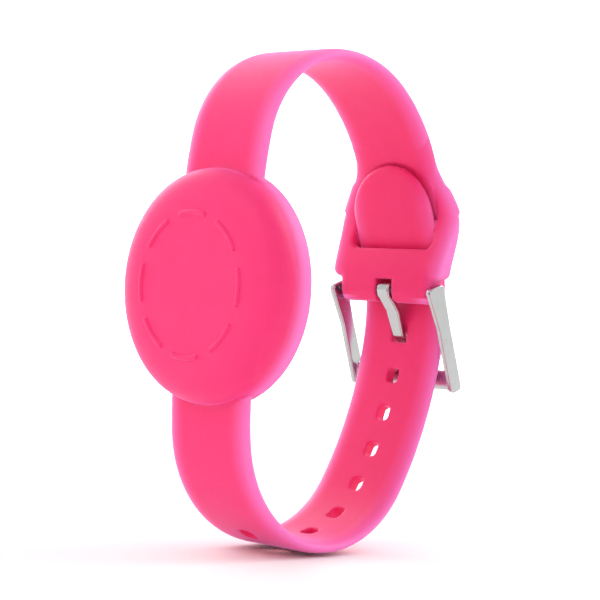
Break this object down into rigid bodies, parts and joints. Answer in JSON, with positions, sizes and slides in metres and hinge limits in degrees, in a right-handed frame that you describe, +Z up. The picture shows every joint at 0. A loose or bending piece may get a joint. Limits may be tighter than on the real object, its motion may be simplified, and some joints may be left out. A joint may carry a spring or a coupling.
{
  "type": "fitness tracker band",
  "caption": "Pink silicone wristband with a round closed head over a coin-cell tracker puck, closed by a steel pin buckle.",
  "frame": {"origin": "middle of the wrist opening, where the wearer's wrist axis crosses the strap's mid plane", "axes": "+X along the wrist and the buckle's spring bar, -Y out of the head's face, +Z up the long way of the closed loop"},
  "size_m": [0.0358, 0.0509, 0.0781],
  "materials": {
    "silicone": "soft matte",
    "steel": "polished",
    "shell_plastic": "fine matte",
    "seal_rubber": "matte",
    "white_plastic": "matte",
    "cell_steel": "brushed",
    "gold_plate": "plated",
    "board_green": "solder mask",
    "chip_black": "matte",
    "ceramic": "fired"
  },
  "bodies": {
    "strap": {"band": "silicone", "spring_bar_tube": "steel", "spring_bar_spring": "steel"},
    "frame": {"buckle_frame": "steel"},
    "tongue": {"buckle_tongue": "steel"},
    "pin_left": {"spring_bar_pin_left": "steel"},
    "pin_right": {"spring_bar_pin_right": "steel"},
    "puck": {"puck_front_shell": "shell_plastic", "puck_rear_shell": "shell_plastic", "cell_carrier": "white_plastic", "coin_cell": "cell_steel", "battery_contact_positive": "gold_plate", "battery_contact_negative": "gold_plate", "circuit_board": "board_green", "board_screws": "steel", "radio_chip": "chip_black", "motion_sensor": "chip_black", "clock_crystal": "cell_steel", "chip_antenna": "ceramic", "board_capacitors": "ceramic"},
    "cover": {"battery_cover": "shell_plastic", "cover_o_ring": "seal_rubber"}
  },
  "joints": [
    {"name": "frame_swing", "type": "hinge", "parent": "strap", "child": "frame", "pos_m": [0, 0.0196, 0.0011], "axis": [1, 0, 0], "range_deg": [0, 70]},
    {"name": "tongue_play", "type": "hinge", "parent": "strap", "child": "tongue", "pos_m": [0, 0.0196, 0.0011], "axis": [1, 0, 0], "range_deg": [-2, 2]},
    {"name": "pin_left_press", "type": "slide", "parent": "strap", "child": "pin_left", "axis": [1, 0, 0], "range_m": [0, 0.00095], "stiffness_N_per_m": 400, "springref_m": -0.001, "deforming": ["spring_bar_spring"]},
    {"name": "pin_right_press", "type": "slide", "parent": "strap", "child": "pin_right", "axis": [-1, 0, 0], "range_m": [0, 0.00095], "stiffness_N_per_m": 400, "springref_m": -0.001, "deforming": ["spring_bar_spring"]},
    {"name": "puck_slide", "type": "slide", "parent": "strap", "child": "puck", "axis": [0, 1, 0], "range_m": [0, 0.012]},
    {"name": "cover_twist", "type": "hinge", "parent": "puck", "child": "cover", "pos_m": [0, -0.0163, 0], "axis": [0, 1, 0], "range_deg": [0, 30]}
  ]
}
